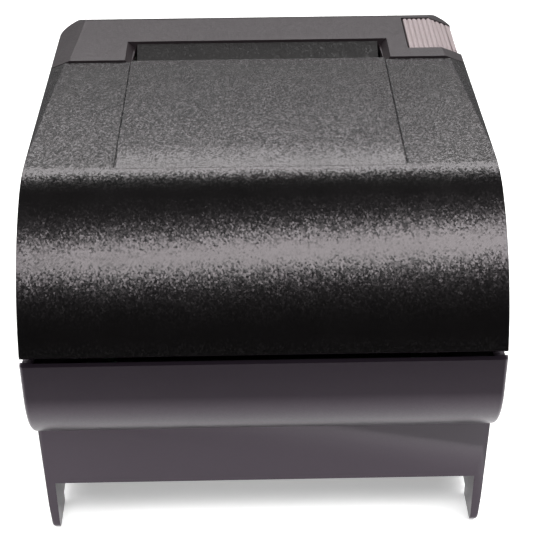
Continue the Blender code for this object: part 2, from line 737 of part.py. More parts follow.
# Latch: a shaft with a hook at each end, clear of the platen's way out
latch = cylinder((0, *LATCH), 2.0, 104, "X", 20)
for side in (1, -1):
    hook_outline = arc(LATCH, 4.0, 180, 350, 6) + [(-8, 104), (-8, 110), (-14.4, 110), (-14.4, 107.5)]
    hook_outline += [(-11.5, 106), (-11.5, 92)]
    join(latch, flat([hook_outline], *spread(side, 45.4, 47.2)))
crank_outline = arc(LATCH, 3.6, 90, 270, 6) + [(4, 84), (4, 88)]
crank = flat([crank_outline], -53.4, -51.2)
join(latch, crank)
finish(latch, "lock_shaft", "steel", (0, *LATCH))

# Release lever in its pocket
lever_outline = [(LEVER_Y[1] - 0.8, 116.8), (LEVER_Y[1], 118.4)]
lever_outline += [(LEVER_Y[1], TOP_Z - 0.1), (LEVER_Y[0], TOP_Z - 0.1)]
lever_outline += [(LEVER_Y[0], 118.6), (-42, 118.6), (-39.5, 116.8)]
lever = flat([lever_outline], *LEVER_X)
bisect(lever, (-BEVEL_X, SEAM_Y, TOP_Z - 0.1), (-BEVEL_SLOPE, -BEVEL_SLOPE * BEVEL_SPREAD, 1))
cut(lever, cylinder((-58, *LEVER_PIVOT), 1.1, 50, "X", 16))
finish(lever, "release_lever", "light", (0, *LEVER_PIVOT))
lever_pin = cylinder((-60.9, *LEVER_PIVOT), 0.9, 18.0, "X", 16)
finish(lever_pin, "lever_pin", "steel")

# Power switch in the right side wall
housing = box((60, SWITCH[0] - 11, SWITCH[1] - 7), (72.0, SWITCH[0] + 11, SWITCH[1] + 7))
cut(housing, box((62.5, SWITCH[0] - 9.6, SWITCH[1] - 5.6), (80, SWITCH[0] + 9.6, SWITCH[1] + 5.6)))
finish(housing, "switch_housing", "black")
rocker_outline = [(66.6, -67.6), (71.0, -68.6), (69.9, -60.0), (72.3, -51.4), (66.9, -52.4), (63.6, -60.0)]
rocker = flat([rocker_outline], SWITCH[1] - 5.2, SWITCH[1] + 5.2, ALONG_Z)
finish(rocker, "power_rocker", "black", (67.4, SWITCH[0], SWITCH[1]))

# Switch that senses the closed cover
sensor = box((60.0, 20, 70), (66.0, 34, 78))
join(sensor, box((62, 25, 77.5), (64, 28, 80.5)))
finish(sensor, "cover_switch", "black")
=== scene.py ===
# %% [markdown]
# # A receipt printer, built around its engineering model
#
# The printer is a black box with a grey front. A paper roll drops in under the
# hinged rear cover, the paper leaves through the slot at the top, and a ribbed
# lever beside the slot opens the cover. The engineering model gives every size
# and every moving body. This lesson adds the looks: rounded mouldings, grained
# plastic, rubber, steel and light.
#
# The first cell loads that model. Its outer box is kept, because nothing that
# is added here may stand outside it.

# %% Load the frame
import math

import bmesh
import bpy
from mathutils import Matrix, Vector


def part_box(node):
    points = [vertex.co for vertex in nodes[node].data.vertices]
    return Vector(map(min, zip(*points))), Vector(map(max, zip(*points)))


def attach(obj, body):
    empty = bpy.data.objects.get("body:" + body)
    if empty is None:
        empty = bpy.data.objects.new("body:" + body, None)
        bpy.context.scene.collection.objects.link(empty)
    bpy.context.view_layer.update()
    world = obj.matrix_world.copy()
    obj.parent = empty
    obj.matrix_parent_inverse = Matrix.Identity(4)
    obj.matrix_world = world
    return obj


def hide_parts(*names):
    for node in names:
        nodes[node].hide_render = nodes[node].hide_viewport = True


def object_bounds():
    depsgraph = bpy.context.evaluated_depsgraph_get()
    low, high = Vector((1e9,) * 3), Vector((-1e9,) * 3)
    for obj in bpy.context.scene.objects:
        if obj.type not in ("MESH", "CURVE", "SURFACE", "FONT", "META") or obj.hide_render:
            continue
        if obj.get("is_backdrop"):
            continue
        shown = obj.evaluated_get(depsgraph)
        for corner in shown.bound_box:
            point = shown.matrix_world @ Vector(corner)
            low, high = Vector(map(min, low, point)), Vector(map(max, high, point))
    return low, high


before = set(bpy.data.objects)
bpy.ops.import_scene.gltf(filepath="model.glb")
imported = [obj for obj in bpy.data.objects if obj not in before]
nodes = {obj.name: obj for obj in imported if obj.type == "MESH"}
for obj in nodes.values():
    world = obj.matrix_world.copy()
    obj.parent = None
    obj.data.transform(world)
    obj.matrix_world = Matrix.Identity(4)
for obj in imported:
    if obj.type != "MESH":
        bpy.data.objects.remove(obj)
cad_low, cad_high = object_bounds()
MM = 0.001
print("frame box in mm:", [round(v / MM, 1) for v in (*cad_low, *cad_high)])

# %% [markdown]
# ## Sizes that many pieces share
#
# All sizes are in millimetres. The outer ones come from the model's boxes, and the
# rest repeat the model's own. Y runs from the sloping front (low) to the bulging
# rear (high), Z is height, and +X is on the right for someone who stands in front
# of the printer.

# %% Shared sizes
case_low, case_high = (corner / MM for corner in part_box("base_case"))
cover_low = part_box("roll_cover")[0] / MM
front_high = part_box("front_frame")[1] / MM
HALF = case_high.x
REAR_Y = case_high.y
FRONT_Y = case_low.y
TOP_Z = front_high.z
BASE_TOP = 81.2
SEAM_Y = cover_low.y
SIDE_TOP = 123.4
FRONT_SLOPE = math.radians(58)
SLOPE_TURN = 90 - math.degrees(FRONT_SLOPE)
print("half width", round(HALF, 2), "seam at y", round(SEAM_Y, 2), "top", round(TOP_Z, 2))

# %% [markdown]
# ## Helpers for work in edit mode
#
# Every operator acts on what is selected, so each helper first clears the
# selection and then picks exactly one object, or the edges that a test
# accepts.


# %% Selection helpers
def clear():
    """Leaves nothing selected, in object mode."""
    if bpy.context.object and bpy.context.object.mode != "OBJECT":
        bpy.ops.object.mode_set(mode="OBJECT")
    bpy.ops.object.select_all(action="DESELECT")


def choose(obj):
    """Leaves one object selected and active, in object mode."""
    clear()
    obj.select_set(True)
    bpy.context.view_layer.objects.active = obj
    return obj


def settle(obj, name):
    """Names a piece and moves its place into its mesh."""
    choose(obj)
    bpy.ops.object.transform_apply(location=True, rotation=True, scale=True)
    obj.name = name
    obj.data.name = name
    return obj


def pick_edges(obj, test):
    """Opens edit mode with only the edges selected that the test accepts.

    The test gets both ends of an edge in mm, and the edge.
    """
    choose(obj)
    bpy.ops.object.mode_set(mode="EDIT")
    bpy.ops.mesh.select_mode(type="EDGE")
    bpy.ops.mesh.select_all(action="DESELECT")
    mesh = bmesh.from_edit_mesh(obj.data)
    count = 0
    for edge in mesh.edges:
        a, b = (vert.co / MM for vert in edge.verts)
        if test(a, b, edge):
            edge.select_set(True)
            count += 1
    bmesh.update_edit_mesh(obj.data)
    return count


def round_edges(obj, test, width, segments=3):
    """Rounds the edges that the test accepts."""
    count = pick_edges(obj, test)
    if count:
        bpy.ops.mesh.bevel(
            offset=width * MM, segments=segments, affect="EDGES", clamp_overlap=True
        )
    bpy.ops.object.mode_set(mode="OBJECT")
    print(obj.name, "rounded", count, "edges by", width, "mm")
    return obj


# %% [markdown]
# ## Walking an outline
#
# Mouldings such as the case and the cover have one side profile all the way
# across. The quick way to such a solid is the way it is drawn: one point is
# extruded from corner to corner round the profile, the loop is filled, and the
# face is pulled out to the full width. Turning a cube into it would take dozens
# of cuts instead.


# %% Outline helpers
def arc(centre, radius, start, end, steps):
    """Points of an arc, its angles in degrees."""
    points = []
    for step in range(steps + 1):
        angle = math.radians(start + (end - start) * step / steps)
        across, along = math.cos(angle), math.sin(angle)
        points.append((centre[0] + radius * across, centre[1] + radius * along))
    return points


def spread(side, near, far):
    """Two distances from the middle, put on one side and in rising order."""
    return sorted((side * near, side * far))


PLACES = {
    "X": lambda u, v, w: Vector((w, u, v)) * MM,
    "Y": lambda u, v, w: Vector((u, w, v)) * MM,
    "Z": lambda u, v, w: Vector((u, v, w)) * MM,
}


def walk(name, outline, low, high, axis="X"):
    """Extrudes one corner round an outline, fills it and pulls it out along an axis."""
    place = PLACES[axis]
    clear()
    bpy.ops.mesh.primitive_plane_add(size=MM, location=place(*outline[0], low))
    obj = bpy.context.object
    bpy.ops.object.transform_apply(location=True)
    bpy.ops.object.mode_set(mode="EDIT")
    bpy.ops.mesh.select_mode(type="VERT")
    bpy.ops.mesh.select_all(action="SELECT")
    bpy.ops.mesh.merge(type="CENTER")
    for start, end in zip(outline, [*outline[1:], outline[0]]):
        step = place(*end, low) - place(*start, low)
        bpy.ops.mesh.extrude_region_move(TRANSFORM_OT_translate={"value": step})
    bpy.ops.mesh.select_all(action="SELECT")
    bpy.ops.mesh.remove_doubles(threshold=1e-6)
    bpy.ops.mesh.edge_face_add()
    pull = place(0, 0, high) - place(0, 0, low)
    bpy.ops.mesh.extrude_region_move(TRANSFORM_OT_translate={"value": pull})
    bpy.ops.mesh.select_all(action="SELECT")
    bpy.ops.mesh.normals_make_consistent(inside=False)
    bpy.ops.object.mode_set(mode="OBJECT")
    return settle(obj, name)


def block(name, low, high):
    """A cube at its size and place, given by two corners."""
    low, high = Vector(low), Vector(high)
    clear()
    bpy.ops.mesh.primitive_cube_add(size=1, location=(low + high) / 2 * MM, scale=(high - low) * MM)
    return settle(bpy.context.object, name)


def rod(name, centre, radius, length, axis="Z", sides=48, tilt=0.0):
    """A round bar along X, Y or Z, tilted about X."""
    turns = {"X": (0, math.pi / 2, 0), "Y": (math.pi / 2, 0, 0), "Z": (tilt, 0, 0)}
    clear()
    bpy.ops.mesh.primitive_cylinder_add(
        vertices=sides,
        radius=radius * MM,
        depth=length * MM,
        location=Vector(centre) * MM,
        rotation=turns[axis],
    )
    return settle(bpy.context.object, name)


# %% [markdown]
# ## Carving and joining
#
# A Boolean modifier takes one solid from another, or welds the two. It is
# applied at once and the tool is thrown away, so that what is left is a plain
# mesh that later edge work can select from.


# %% Boolean helpers
def combine(obj, other, operation):
    modifier = choose(obj).modifiers.new("combine", "BOOLEAN")
    modifier.operation = operation
    modifier.solver = "EXACT"
    modifier.object = other
    bpy.ops.object.modifier_apply(modifier=modifier.name)
    bpy.data.objects.remove(other, do_unlink=True)
    return obj


def carve(obj, *tools):
    for tool in tools:
        combine(obj, tool, "DIFFERENCE")
    return obj


def weld(obj, *others):
    for other in others:
        combine(obj, other, "UNION")
    return obj


def slice_off(obj, point, normal):
    """Cuts away what lies beyond a plane and closes the cut."""
    choose(obj)
    bpy.ops.object.mode_set(mode="EDIT")
    bpy.ops.mesh.select_all(action="SELECT")
    bpy.ops.mesh.bisect(
        plane_co=Vector(point) * MM,
        plane_no=Vector(normal).normalized(),
        use_fill=True,
        clear_outer=True,
    )
    bpy.ops.object.mode_set(mode="OBJECT")
    return obj


def smooth(obj, angle=35):
    """Smooth shading that breaks at real edges, with large faces kept flat."""
    choose(obj)
    bpy.ops.object.mode_set(mode="EDIT")
    bpy.ops.mesh.select_all(action="SELECT")
    bpy.ops.mesh.remove_doubles(threshold=2e-6)
    bpy.ops.object.mode_set(mode="OBJECT")
    bpy.ops.object.shade_smooth_by_angle(angle=math.radians(angle))
    modifier = obj.modifiers.new("flat faces", "WEIGHTED_NORMAL")
    modifier.keep_sharp = True
    bpy.ops.object.modifier_apply(modifier=modifier.name)
    return obj


# %% [markdown]
# ## Material helpers
#
# Colours are written as sRGB hex, as a paint chart gives them, and one function
# turns them into the linear values that a shader needs. One small function adds
# a node together with its settings and links. Three more make what nearly every
# finish here needs: a colour between two others, a bump, and the main shader.


# %% Colour and node helpers
def colour(code):
    """Linear colour of an sRGB hex code."""
    values = [int(code[i : i + 2], 16) / 255 for i in (1, 3, 5)]
    return (*[v / 12.92 if v <= 0.04045 else ((v + 0.055) / 1.055) ** 2.4 for v in values], 1.0)


def add_node(tree, kind, inputs=None, **settings):
    """Adds a node. An input takes a value, or another node's output."""
    node = tree.nodes.new("ShaderNode" + kind)
    for name, value in settings.items():
        setattr(node, name, value)
    for name, value in (inputs or {}).items():
        if isinstance(value, bpy.types.NodeSocket):
            tree.links.new(value, node.inputs[name])
        else:
            node.inputs[name].default_value = value
    return node


def new_material(name):
    """An empty material: its node tree, its output node and the Object coordinates."""
    material = bpy.data.materials.new(name)
    material.use_nodes = True
    tree = material.node_tree
    tree.nodes.clear()
    output = add_node(tree, "OutputMaterial")
    place = add_node(tree, "TexCoord").outputs["Object"]
    return material, tree, output, place


def per_mm(size):
    """Noise scale whose grains are this many millimetres wide."""
    return 1 / (size * MM)


def blend(tree, factor, first, second):
    """A colour between two, each a hex code or a node's output, by a factor."""
    pair = [c if isinstance(c, bpy.types.NodeSocket) else colour(c) for c in (first, second)]
    mix = add_node(tree, "Mix", {0: factor, 6: pair[0], 7: pair[1]}, data_type="RGBA")
    return mix.outputs[2]


def relief(tree, height, strength, depth):
    """The surface normal that a bump of this depth in mm gives."""
    settings = {"Height": height, "Strength": strength, "Distance": depth * MM}
    return add_node(tree, "Bump", settings).outputs["Normal"]


def cover_with(tree, output, **inputs):
    """Adds the main shader. Its inputs are written with _ for the spaces in their names."""
    named = {name.replace("_", " "): value for name, value in inputs.items()}
    shader = add_node(tree, "BsdfPrincipled", named)
    tree.links.new(shader.outputs["BSDF"], output.inputs["Surface"])
    return shader


# %% [markdown]
# ## Injection-moulded plastic
#
# The whole outside is ABS, moulded against a steel tool whose surface was
# spark-eroded or blasted. What the eye gets is a very dark body with a broad,
# soft sheen, broken up by the grain that the tool left. So the shader is almost
# black, and most of the brightness comes from how light grazes the surface.
# The grain is a field of tiny facets, each turned a little its own way, so that it
# glints in the highlights and stays quiet in the shadows. Real facets of this kind
# are about a third of a millimetre wide, too fine to show from here, so they are
# drawn about half as wide again. A slow change of sheen, as from handling, and a
# faint flow in the colour do the rest.

# %% Moulded plastic
WEAR = 0.015


def turned_facets(tree, place, normal, grain, tilt):
    """Normals of facets of a width in mm, each leaning by up to tilt * 29 degrees."""
    cells = add_node(tree, "TexVoronoi", {"Vector": place, "Scale": per_mm(grain)})
    centred = add_node(
        tree,
        "VectorMath",
        {0: cells.outputs["Color"], 1: (0.5, 0.5, 0.5)},
        operation="SUBTRACT",
    )
    lean = add_node(
        tree,
        "VectorMath",
        {0: centred.outputs["Vector"], "Scale": tilt},
        operation="SCALE",
    )
    facing = add_node(
        tree, "VectorMath", {0: normal, 1: lean.outputs["Vector"]}, operation="ADD"
    )
    facet = add_node(
        tree, "VectorMath", {0: facing.outputs["Vector"]}, operation="NORMALIZE"
    )
    return facet.outputs["Vector"]


def moulded_plastic(name, body, shade, roughness, grain, tilt, sheen="#FFFFFF", level=0.5):
    """ABS with tool grain. Sheen tints its shine, and level sets how much it shines."""
    material, tree, output, place = new_material(name)
    flow = add_node(tree, "TexNoise", {"Vector": place, "Scale": per_mm(28), "Detail": 3.0})
    patches = add_node(tree, "TexNoise", {"Vector": place, "Scale": per_mm(9), "Detail": 4.0})
    gloss = add_node(
        tree,
        "MapRange",
        {
            "Value": patches.outputs["Fac"],
            "From Min": 0.3,
            "From Max": 0.7,
            "To Min": roughness - WEAR,
            "To Max": roughness + WEAR,
        },
    )
    skin = relief(tree, patches.outputs["Fac"], 1.0, 0.02)
    cover_with(
        tree,
        output,
        Base_Color=blend(tree, flow.outputs["Fac"], body, shade),
        Roughness=gloss.outputs["Result"],
        Normal=turned_facets(tree, place, skin, grain, tilt),
        IOR=1.52,
        Specular_IOR_Level=level,
        Specular_Tint=colour(sheen),
    )
    print("material", name)
    return material


# Columns: name, two body colours, roughness, grain in mm, tilt, and for some the
# tint and the level of the shine.
cover_abs = moulded_plastic(
    "abs_black_spark_eroded", "#050505", "#070606", 0.25, 0.5, 0.13, "#FFF6FA"
)
base_abs = moulded_plastic(
    "abs_charcoal_satin", "#110D12", "#141015", 0.3, 0.45, 0.03, "#FFEAFF", 0.44
)
front_abs = moulded_plastic(
    "abs_dark_grey_satin", "#201B1D", "#231E20", 0.34, 0.45, 0.08, "#FFF6FA"
)
lever_abs = moulded_plastic("abs_light_grey_satin", "#85797A", "#8C8081", 0.4, 0.4, 0.05)
slot_abs = moulded_plastic("abs_black_coarse_erosion", "#141313", "#1A1818", 0.4, 0.6, 0.25)
inner_abs = moulded_plastic("abs_black_unpolished", "#0C0C0C", "#101010", 0.55, 0.5, 0.1)
gear_pom = moulded_plastic("pom_natural_white", "#D2CFC4", "#DEDBD0", 0.38, 0.5, 0.04)
connector_pbt = moulded_plastic("pbt_black_connector", "#0C0C0C", "#131313", 0.45, 0.4, 0.06)


# %% [markdown]
# ## Steel, aluminium and tin plate
#
# Rolled sheet shows fine lines along the rolling direction. The lines come from
# a noise that is squeezed across and stretched along them, and they disturb
# both the roughness and the bump.


# %% Metals
def rolled_metal(name, bright, dull, roughness, line, turn=(0.0, 0.0, 0.0)):
    """Sheet metal with lines along X; line is their spacing in mm."""
    material, tree, output, place = new_material(name)
    lay = add_node(
        tree,
        "Mapping",
        {"Vector": place, "Rotation": turn, "Scale": (0.02, 1.0, 1.0)},
    )
    lines = add_node(
        tree,
        "TexNoise",
        {"Vector": lay.outputs["Vector"], "Scale": per_mm(line), "Detail": 2.0},
    )
    clouds = add_node(tree, "TexNoise", {"Vector": place, "Scale": per_mm(12), "Detail": 4.0})
    gloss = add_node(
        tree,
        "MapRange",
        {"Value": lines.outputs["Fac"], "To Min": roughness - 0.08, "To Max": roughness + 0.12},
    )
    cover_with(
        tree,
        output,
        Base_Color=blend(tree, clouds.outputs["Fac"], bright, dull),
        Metallic=1.0,
        Roughness=gloss.outputs["Result"],
        Normal=relief(tree, lines.outputs["Fac"], 0.3, 0.01),
    )
    print("material", name)
    return material


ALONG_Y = (0.0, 0.0, math.pi / 2)
zinc_steel = rolled_metal("steel_zinc_plated_sheet", "#B9B8B4", "#9C9B99", 0.34, 0.25)
ground_steel = rolled_metal("steel_ground_blade", "#C9C8C6", "#B4B3B2", 0.22, 0.12, ALONG_Y)
turned_steel = rolled_metal("steel_turned_bar", "#C4C3C0", "#A9A8A6", 0.26, 0.2, ALONG_Y)
sink_aluminium = rolled_metal("aluminium_extruded", "#D6D6D6", "#C2C3C4", 0.36, 0.3)
tin_plate = rolled_metal("steel_tin_plated", "#CFCDC8", "#BCBBB8", 0.28, 0.35)

# %% [markdown]
# ## Rubber, lenses, the board and the print head
#
# The platen and feet are rubber: matt, nearly black, with a dusty sheen. The
# indicator lenses are tinted polycarbonate. The board is glass-fibre laminate
# under green solder mask, with the weave just visible. The print head's face is
# glazed ceramic.


# %% Other finishes
def ground_rubber(name):
    """Rubber ground to size: a fine nap from the wheel, and dust in slow patches."""
    material, tree, output, place = new_material(name)
    grind = add_node(tree, "TexNoise", {"Vector": place, "Scale": per_mm(0.35), "Detail": 3.0})
    dust = add_node(tree, "TexNoise", {"Vector": place, "Scale": per_mm(6), "Detail": 4.0})
    cover_with(
        tree,
        output,
        Base_Color=blend(tree, dust.outputs["Fac"], "#141414", "#262524"),
        Roughness=0.78,
        Normal=relief(tree, grind.outputs["Fac"], 0.5, 0.05),
        Sheen_Weight=0.15,
    )
    return material


def tinted_lens(name, deep, pale):
    """Polycarbonate: smooth, with a ripple and a paler core."""
    material, tree, output, place = new_material(name)
    ripple = add_node(tree, "TexNoise", {"Vector": place, "Scale": per_mm(1.4), "Detail": 1.0})
    cover_with(
        tree,
        output,
        Base_Color=blend(tree, ripple.outputs["Fac"], deep, pale),
        Roughness=0.14,
        IOR=1.58,
        Normal=relief(tree, ripple.outputs["Fac"], 0.15, 0.05),
        Coat_Weight=0.4,
        Coat_Roughness=0.06,
    )
    return material


def solder_mask(name):
    """Green mask over glass cloth: a faint weave, and copper traces under it."""
    material, tree, output, place = new_material(name)
    threads = [
        add_node(
            tree,
            "TexWave",
            {"Vector": place, "Scale": per_mm(1.2) / 6, "Distortion": 0.4},
            bands_direction=direction,
        ).outputs["Fac"]
        for direction in ("X", "Y")
    ]
    cloth = add_node(tree, "Math", {0: threads[0], 1: threads[1]}, operation="MULTIPLY")
    traces = add_node(
        tree, "TexBrick", {"Vector": place, "Scale": per_mm(9.0), "Mortar Size": 0.03}
    )
    mask = blend(tree, cloth.outputs["Value"], "#0C4A26", "#12592F")
    cover_with(
        tree,
        output,
        Base_Color=blend(tree, traces.outputs["Fac"], mask, "#1E7A40"),
        Roughness=0.36,
        Normal=relief(tree, traces.outputs["Fac"], 0.4, 0.04),
        IOR=1.5,
    )
    return material


def glazed_ceramic(name):
    """The print head's face: amber glaze with a faint cloud, under a clear coat."""
    material, tree, output, place = new_material(name)
    cloud = add_node(tree, "TexNoise", {"Vector": place, "Scale": per_mm(4), "Detail": 3.0})
    cover_with(
        tree,
        output,
        Base_Color=blend(tree, cloud.outputs["Fac"], "#B8793C", "#C98B4C"),
        Roughness=0.2,
        IOR=1.6,
        Coat_Weight=0.5,
        Coat_Roughness=0.08,
    )
    return material


platen_rubber = ground_rubber("rubber_ground")
green_lens = tinted_lens("polycarbonate_green", "#0F5A22", "#2E8B3F")
amber_lens = tinted_lens("polycarbonate_amber", "#7A3A08", "#B0601A")
board_mask = solder_mask("laminate_green_mask")
head_ceramic = glazed_ceramic("ceramic_glazed")


# %% [markdown]
# ## Finishing a piece
#
# A finished piece gets its material, rides on the body that moves it, and hides the engineering
# solid that it stands for.


# %% Finish helper
def finish_piece(obj, material, body, slot, *stands_for):
    obj.data.materials.clear()
    obj.data.materials.append(material)
    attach(obj, body)
    if stands_for:
        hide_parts(*stands_for)
    obj.data.calc_loop_triangles()
    print("piece", obj.name, len(obj.data.loop_triangles), "triangles")
    return obj


# %% [markdown]
# ## The case bottom
#
# The lower half of the case is one deep moulding. Seen from behind it bulges
# out where the paper roll sits, then steps in to a plain skirt, and its two side
# walls reach the table as legs with an open cable bay between them. Its profile
# is walked once and pulled across the full width. The sides lean in a little
# towards the floor, which is the draft that lets the moulding leave its tool.

# %% Case bottom: outside
BULGE = (67.0, 69.0)
BULGE_RADIUS = 26.0
SKIRT_Y = 76.6
LOW_CENTRE = (-73.0, 73.35)
LOW_RADIUS = 20.0
DRAFT_TOP = 44.0
DRAFT = 0.7


def low_turn(height):
    return math.degrees(math.asin((height - LOW_CENTRE[1]) / LOW_RADIUS))


bulge_end = math.degrees(math.acos((SKIRT_Y - BULGE[0]) / BULGE_RADIUS))
case_outline = [(REAR_Y, BASE_TOP)]
case_outline += arc(BULGE, BULGE_RADIUS, 0, -bulge_end, 26)
case_outline += [(SKIRT_Y, 2.5)] + arc((SKIRT_Y - 2.5, 2.5), 2.5, -15, -90, 5)
case_outline += [(62.6, 0.0), (62.6, 4.0), (FRONT_Y + 3, 4.0)]
case_outline += arc((FRONT_Y + 3, 7.0), 3.0, -105, -180, 5)
case_outline += arc(LOW_CENTRE, LOW_RADIUS, 180, 180 - low_turn(BASE_TOP), 8)
base = walk("case_bottom", case_outline, -HALF, HALF)

choose(base)
bpy.ops.object.mode_set(mode="EDIT")
bpy.ops.mesh.select_all(action="SELECT")
bpy.ops.mesh.bisect(plane_co=(0, 0, DRAFT_TOP * MM), plane_no=(0, 0, 1))
shell = bmesh.from_edit_mesh(base.data)
heights = {round(vert.co.z / MM, 3) for vert in shell.verts}
for level in sorted(height for height in heights if height < DRAFT_TOP - 0.01):
    bpy.ops.mesh.select_all(action="DESELECT")
    bpy.ops.mesh.select_mode(type="VERT")
    shell = bmesh.from_edit_mesh(base.data)
    for vert in shell.verts:
        vert.select_set(abs(vert.co.z / MM - level) < 0.002)
    bmesh.update_edit_mesh(base.data)
    lean = 1 - DRAFT * (DRAFT_TOP - level) / DRAFT_TOP / HALF
    bpy.ops.transform.resize(value=(lean, 1, 1))
bpy.ops.object.mode_set(mode="OBJECT")
print("case bottom leans in by", DRAFT, "mm a side")


# %% [markdown]
# The side edges of the bulge are softly rounded, while the top edge stays
# crisp because it faces the seam. The front corners have a much larger radius,
# which is taken off with a tool shaped like the waste that a router would leave.


# %% Case bottom: rounded edges and corners
def on_side(a, b, half=HALF, slack=0.8):
    """True for an edge that lies on one of the two sides."""
    return abs(a.x - b.x) < 0.5 and min(abs(a.x), abs(b.x)) > half - slack


def is_corner(edge, least=20):
    """True where two faces meet at more than this many degrees."""
    return len(edge.link_faces) == 2 and math.degrees(edge.calc_face_angle(0.0)) > least


round_edges(
    base,
    lambda a, b, edge: on_side(a, b)
    and is_corner(edge)
    and (a.z + b.z) / 2 < BASE_TOP - 1
    and a.y + b.y > 100,
    2.0,
    4,
)

CORNER = 10.0


def corner_tools(front, low, high):
    """Two tools that leave the corners between a front face and the sides round."""
    for side in (1, -1):
        middle = (side * (HALF - CORNER), front + CORNER)
        outline = arc(middle, CORNER, 270, 270 + side * 90, 16)
        beyond = side * (HALF + 5)
        outline += [(beyond, middle[1]), (beyond, front - 5), (middle[0], front - 5)]
        yield walk("corner_tool", outline, low, high, "Z")


carve(base, *corner_tools(FRONT_Y, -10, 100))

# %% [markdown]
# The inside follows the outside at wall thickness. Then come the cable bay
# under the skirt, the window for the power switch, and on each side the round
# relief that lets the cover's corner turn, a shelf for the mechanism, a post in
# the front corner, the ear that holds a hinge pin, and a ledge over the bottom
# plate's edge, which keeps light out of the seam.

# %% Case bottom: inside
WALL = 2.5
SIDE_WALL = 3.5
HINGE = (85.5, 84.6)
HINGE_RELIEF = 6.1
PIN_RADIUS = 1.3
SWITCH = (-60.0, 35.0)
SWITCH_HALF = (11.3, 7.3)
CABLE_BAY_Y = (55, 85)
CABLE_BAY_TOP = 20.6
hollow_outline = [(REAR_Y - 1.8, 90), (REAR_Y - 1.8, 76), (REAR_Y - WALL, 74)]
hollow_outline += arc(BULGE, BULGE_RADIUS - WALL, 0, -70, 18)
hollow_outline += [(SKIRT_Y - WALL, 46.2), (SKIRT_Y - WALL, -5), (FRONT_Y + WALL, -5)]
hollow_outline += [(FRONT_Y + WALL, 74), (-88.6, 83), (-87, 90)]
inside = HALF - SIDE_WALL
carve(
    base,
    walk("tool", hollow_outline, -inside, inside),
    block("tool", (-inside, CABLE_BAY_Y[0], -5), (inside, CABLE_BAY_Y[1], CABLE_BAY_TOP)),
    block(
        "tool",
        (60, SWITCH[0] - SWITCH_HALF[0], SWITCH[1] - SWITCH_HALF[1]),
        (80, SWITCH[0] + SWITCH_HALF[0], SWITCH[1] + SWITCH_HALF[1]),
    ),
)
for side in (1, -1):
    carve(base, rod("tool", (side * 71.4, *HINGE), HINGE_RELIEF, 5, "X"))
    low, high = spread(side, 52, 69.5)
    shelf = block("shelf", (low, -22, 46), (high, -1, 51.4))
    low, high = spread(side, 64, 69.5)
    post = block("post", (low, -91, 4.4), (high, -86.3, 74))
    ear_outline = [(62, 84), (62, 74), (77, 74)] + arc(HINGE, 2.2, -130, 120, 16)
    ear = walk("ear", ear_outline, *spread(side, 66.0, 69.4))
    low, high = spread(side, 68.0, 69.3)
    ledge = block("ledge", (low, -86, 5.1), (high, 42, 6.1))
    weld(base, shelf, post, ear, ledge)
    pin_hole = rod("tool", (side * 66, *HINGE), PIN_RADIUS, 12, "X")
    screw_hole = rod("tool", (side * 58, -11, 48), 1.3, 20)
    carve(base, pin_hole, screw_hole)
round_edges(
    base,
    lambda a, b, edge: abs(a.z - BASE_TOP) < 0.01
    and abs(b.z - BASE_TOP) < 0.01
    and is_corner(edge)
    and (min(a.y, b.y) > REAR_Y - 0.1 or max(a.y, b.y) < FRONT_Y + 3),
    0.4,
    2,
)
smooth(base)
finish_piece(base, base_abs, "case", "dark_plastic", "base_case")

# %% [markdown]
# ## The roll cover
#
# The cover is one thin shell with a flat top, two soft arcs down the back, and
# sides that are cut at a slant towards the front. Its middle stands slightly
# proud, between two fine grooves. Towards the front the top's outer edges are
# chamfered, wider as they come forward.

# %% Roll cover: outside
COVER_LOW = cover_low.z
BACK_CENTRE = (34.97, 68.59)
BACK_RADIUS = 58.0
BEVEL_X = 65.9
BEVEL_SPREAD = 0.0748
BEVEL_SLOPE = 0.4
PANEL_HALF = 44.25
PANEL_CURVE = 173.0
cover_outline = [(SEAM_Y, 104.0), (SEAM_Y, SIDE_TOP), (47.8, SIDE_TOP)]
cover_outline += arc((47.8, 92.7), 30.7, 90, 62, 14)[1:-1]
cover_outline += arc(BACK_CENTRE, BACK_RADIUS, 62, 14.6, 28)
cover_outline += [(90.9, COVER_LOW), (4.0, COVER_LOW)]
cover = walk("cover_shell", cover_outline, -HALF, HALF)


def chamfer_sides(obj, top):
    """Slopes the top's outer edges: narrow at the rear and wide at the front."""
    for side in (1, -1):
        normal = (side * BEVEL_SLOPE, -BEVEL_SLOPE * BEVEL_SPREAD, 1)
        slice_off(obj, (side * BEVEL_X, SEAM_Y, top), normal)
    return obj


chamfer_sides(cover, TOP_Z)
round_edges(
    cover,
    lambda a, b, edge: min(abs(a.x), abs(b.x)) > 60
    and is_corner(edge, 12)
    and min(a.z, b.z) > COVER_LOW + 2
    and abs(a.x - b.x) < 6,
    1.0,
    4,
)

# %% [markdown]
# The raised middle is its own walked profile, welded on. The grooves beside it
# are cut with a tapered tool, because they open towards the back.

